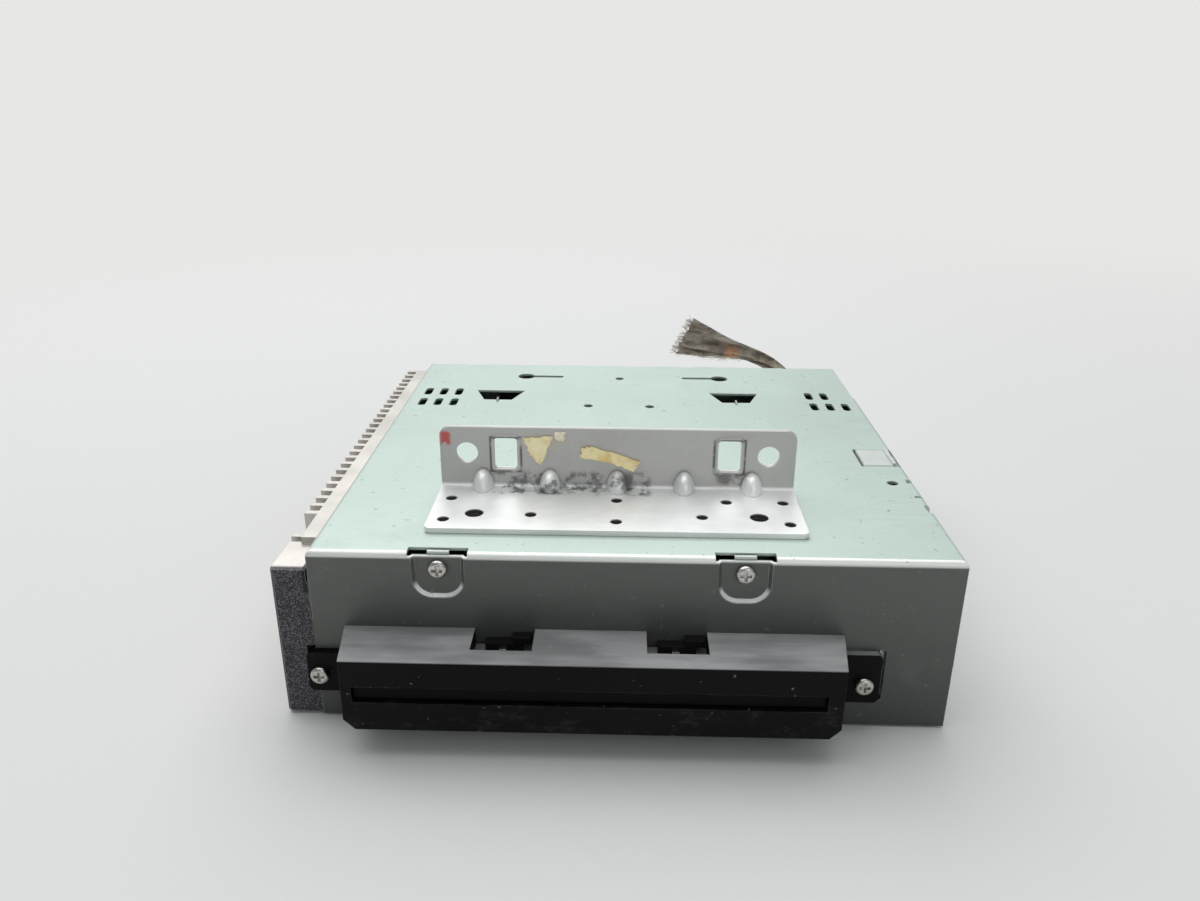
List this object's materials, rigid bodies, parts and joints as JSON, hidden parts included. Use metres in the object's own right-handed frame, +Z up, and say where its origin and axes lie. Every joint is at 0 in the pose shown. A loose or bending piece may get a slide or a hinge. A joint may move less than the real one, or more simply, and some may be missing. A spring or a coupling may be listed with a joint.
{
  "type": "car cd changer",
  "caption": "Slot-loading in-dash disc changer in a bent sheet-metal case, with a finned side heat sink, a black disc mouth, a drilled top bracket and a braided ground strap.",
  "frame": {"origin": "on the plane of the case's underside, below the middle of the whole unit without its ground strap", "axes": "+X to the unit's right seen from its disc mouth, +Y from the mouth to the rear connector, +Z up"},
  "size_m": [0.1886, 0.2359, 0.0737],
  "materials": {
    "zinc_sheet": "zinc-plated sheet, satin",
    "bracket_steel": "plated steel, satin, scuffed",
    "bright_screws": "nickel-plated",
    "sink_metal": "cast, sanded, dull",
    "black_moulding": "fine-grained moulding, dusty",
    "white_moulding": "smooth moulding",
    "frame_sheet": "zinc-plated sheet",
    "damper_rubber": "matt",
    "spring_steel": "drawn wire",
    "board_green": "solder-masked laminate",
    "package_black": "moulded package",
    "capacitor_sleeve": "shrunk sleeve",
    "connector_moulding": "moulded",
    "tinned_lug": "tinned, worn to the copper",
    "strap_braid": "tarnished copper braid",
    "steel_pins": "ground steel",
    "roller_rubber": "matt, ground",
    "gear_white": "moulded acetal",
    "bush_bronze": "sintered bronze",
    "pinion_brass": "cut brass",
    "motor_can": "plated can",
    "guide_black": "moulded",
    "tray_grey": "moulded",
    "cam_steel": "stamped sheet",
    "sled_metal": "die-cast",
    "lens_glass": "clear"
  },
  "bodies": {
    "case": {"base_pan": "zinc_sheet", "top_cover": "zinc_sheet", "mount_bracket": "bracket_steel", "cover_screws": "bright_screws", "mouth_screws": "bright_screws", "heat_sink_screws": "bright_screws", "board_screws": "bright_screws", "ground_screw": "bright_screws", "heat_sink": "sink_metal", "mouth_housing": "black_moulding", "side_clip": "white_moulding", "mech_frame": "frame_sheet", "frame_dampers": "damper_rubber", "suspension_springs": "spring_steel", "main_board": "board_green", "servo_board": "board_green", "board_chips": "package_black", "power_chip": "package_black", "capacitors": "capacitor_sleeve", "main_connector": "connector_moulding", "bus_connector": "connector_moulding", "ground_lug": "tinned_lug", "ground_strap": "strap_braid", "idler_axle": "steel_pins", "tray_guide_post": "steel_pins", "cam_studs": "steel_pins", "deck_post": "steel_pins", "roller_bushes": "bush_bronze", "feed_motor": "motor_can", "lift_motor": "motor_can", "swing_motor": "motor_can", "disc_guide": "guide_black"},
    "flap": {"dust_flap": "black_moulding"},
    "roller": {"roller_shaft": "steel_pins", "feed_rollers": "roller_rubber", "roller_gear": "gear_white"},
    "idler": {"idler_gear": "gear_white"},
    "feed_drive": {"feed_pinion": "pinion_brass"},
    "lower_trays": {"tray_1": "tray_grey", "tray_2": "tray_grey", "tray_3": "tray_grey"},
    "upper_trays": {"tray_4": "tray_grey", "tray_5": "tray_grey", "tray_6": "tray_grey"},
    "cam": {"cam_plate": "cam_steel"},
    "lift_drive": {"lift_gear": "pinion_brass"},
    "deck": {"deck_plate": "cam_steel", "deck_gear": "gear_white", "guide_rods": "steel_pins", "spindle_motor": "motor_can", "sled_motor": "motor_can", "clamp_pin": "steel_pins"},
    "swing_drive": {"swing_pinion": "pinion_brass"},
    "platter": {"turntable": "guide_black"},
    "clamp": {"clamp_arm": "cam_steel"},
    "puck": {"clamp_puck": "guide_black"},
    "sled": {"pickup_sled": "sled_metal", "pickup_lens": "lens_glass"},
    "lead_screw": {"sled_screw": "steel_pins"}
  },
  "joints": [
    {"name": "flap_hinge", "type": "hinge", "parent": "case", "child": "flap", "pos_m": [-0.00645, -0.09972, 0.0229], "axis": [1, 0, 0], "range_deg": [0, 78], "stiffness_Nm_per_rad": 0.0005},
    {"name": "roller_turn", "type": "hinge", "parent": "case", "child": "roller", "pos_m": [-0.00645, -0.07312, 0.0144], "axis": [1, 0, 0], "continuous": true},
    {"name": "idler_turn", "type": "hinge", "parent": "case", "child": "idler", "pos_m": [-0.06875, -0.06071, 0.0175], "axis": [1, 0, 0], "continuous": true},
    {"name": "feed_drive_turn", "type": "hinge", "parent": "case", "child": "feed_drive", "pos_m": [-0.06875, -0.0573, 0.02901], "axis": [1, 0, 0], "continuous": true},
    {"name": "lower_trays_drop", "type": "slide", "parent": "case", "child": "lower_trays", "axis": [0, 0, -1], "range_m": [0, 0.0048]},
    {"name": "upper_trays_rise", "type": "slide", "parent": "case", "child": "upper_trays", "axis": [0, 0, 1], "range_m": [0, 0.0048]},
    {"name": "cam_slide", "type": "slide", "parent": "case", "child": "cam", "axis": [0, 1, 0], "range_m": [0, 0.014]},
    {"name": "lift_drive_turn", "type": "hinge", "parent": "case", "child": "lift_drive", "pos_m": [-0.07275, 0.06367, 0.02], "axis": [1, 0, 0], "range_deg": [0, 167.2]},
    {"name": "deck_swing", "type": "hinge", "parent": "case", "child": "deck", "pos_m": [0.07625, -0.05933, 0.0145], "axis": [0, 0, 1], "range_deg": [0, 56.37]},
    {"name": "swing_drive_turn", "type": "hinge", "parent": "case", "child": "swing_drive", "pos_m": [0.07625, -0.07333, 0.008], "axis": [0, 0, 1], "range_deg": [-123.1, 0]},
    {"name": "platter_spin", "type": "hinge", "parent": "deck", "child": "platter", "pos_m": [0.07625, 0.03999, 0.019], "axis": [0, 0, 1], "continuous": true},
    {"name": "clamp_lift", "type": "hinge", "parent": "deck", "child": "clamp", "pos_m": [0.07625, -0.03932, 0.0228], "axis": [1, 0, 0], "range_deg": [0, 2.4], "stiffness_Nm_per_rad": 0.02, "springref_deg": -20.05},
    {"name": "puck_spin", "type": "hinge", "parent": "clamp", "child": "puck", "pos_m": [0.07625, 0.03999, 0.023], "axis": [0, 0, 1], "continuous": true},
    {"name": "sled_slide", "type": "slide", "parent": "deck", "child": "sled", "axis": [0, -1, 0], "range_m": [0, 0.033]},
    {"name": "lead_screw_turn", "type": "hinge", "parent": "deck", "child": "lead_screw", "pos_m": [0.07275, -0.01432, 0.0176], "axis": [0, 1, 0], "range_deg": [0, 3960]}
  ],
  "couplings": [
    {"joint": "idler_turn", "follows": "roller_turn", "ratio": -0.6},
    {"joint": "feed_drive_turn", "follows": "roller_turn", "ratio": 1.2},
    {"joint": "upper_trays_rise", "follows": "lower_trays_drop", "ratio": 1},
    {"joint": "cam_slide", "follows": "lower_trays_drop", "ratio": 2.9166},
    {"joint": "lift_drive_turn", "follows": "lower_trays_drop", "rad_per_m": 607.64},
    {"joint": "swing_drive_turn", "follows": "deck_swing", "ratio": -2.1818},
    {"joint": "lead_screw_turn", "follows": "sled_slide", "rad_per_m": 2094.3}
  ]
}
